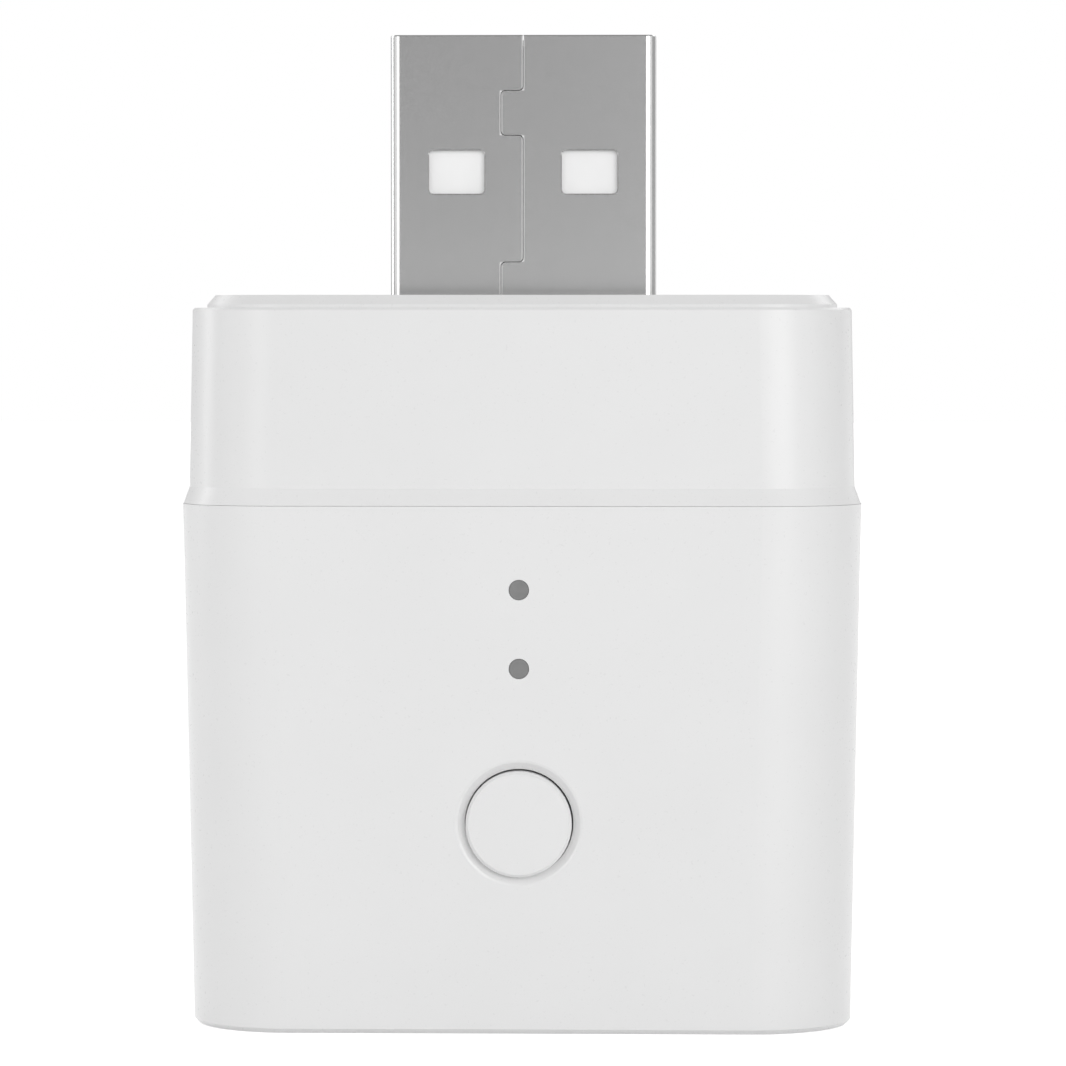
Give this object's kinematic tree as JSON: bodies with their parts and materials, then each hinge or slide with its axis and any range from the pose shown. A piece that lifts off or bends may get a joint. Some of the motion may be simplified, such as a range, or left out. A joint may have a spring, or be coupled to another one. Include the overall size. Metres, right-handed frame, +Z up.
{
  "type": "smart usb adapter",
  "caption": "Small white smart adapter: a USB-A plug on top, a USB-A socket in the flat base, a round push button and grey indicator dots on the front.",
  "frame": {"origin": "middle of the flat base, at the centre of the outline", "axes": "+Z up along the plug, -Y the front with the button and the dots, +X to the right seen from the front"},
  "size_m": [0.0304, 0.0177, 0.0444],
  "materials": {
    "white_plastic": "fine satin moulding",
    "light_guide_grey": "smoked translucent",
    "plated_steel": "bright nickel plating",
    "insulator_white": "moulded",
    "contact_gold": "thin gold plating",
    "board_green": "solder resist",
    "chip_black": "moulded",
    "ceramic_tan": "fired",
    "can_aluminium": "drawn",
    "plunger_black": "moulded",
    "lamp_clear": "clear resin"
  },
  "bodies": {
    "housing": {"antenna": "ceramic_tan", "chip_capacitor_1": "ceramic_tan", "chip_capacitor_2": "ceramic_tan", "chip_capacitor_3": "ceramic_tan", "chip_resistor_1": "chip_black", "chip_resistor_2": "chip_black", "chip_resistor_3": "chip_black", "circuit_board": "board_green", "crystal": "can_aluminium", "input_capacitor": "can_aluminium", "light_guide": "light_guide_grey", "lower_housing": "white_plastic", "memory_chip": "chip_black", "output_capacitor": "can_aluminium", "plug_contact_1": "contact_gold", "plug_contact_2": "contact_gold", "plug_contact_3": "contact_gold", "plug_contact_4": "contact_gold", "plug_insulator": "insulator_white", "plug_shell": "plated_steel", "port_contact_1": "contact_gold", "port_contact_2": "contact_gold", "port_contact_3": "contact_gold", "port_contact_4": "contact_gold", "port_insulator": "insulator_white", "port_shell": "plated_steel", "power_switch": "chip_black", "radio_chip": "chip_black", "status_led_1": "lamp_clear", "status_led_2": "lamp_clear", "switch_base": "chip_black", "switch_cover": "plated_steel", "upper_cap": "white_plastic", "voltage_regulator": "chip_black"},
    "button": {"button_cap": "white_plastic", "switch_plunger": "plunger_black"}
  },
  "joints": [
    {"name": "button_press", "type": "slide", "parent": "housing", "child": "button", "axis": [0, 1, 0], "range_m": [0, 0.00025], "stiffness_N_per_m": 200}
  ]
}
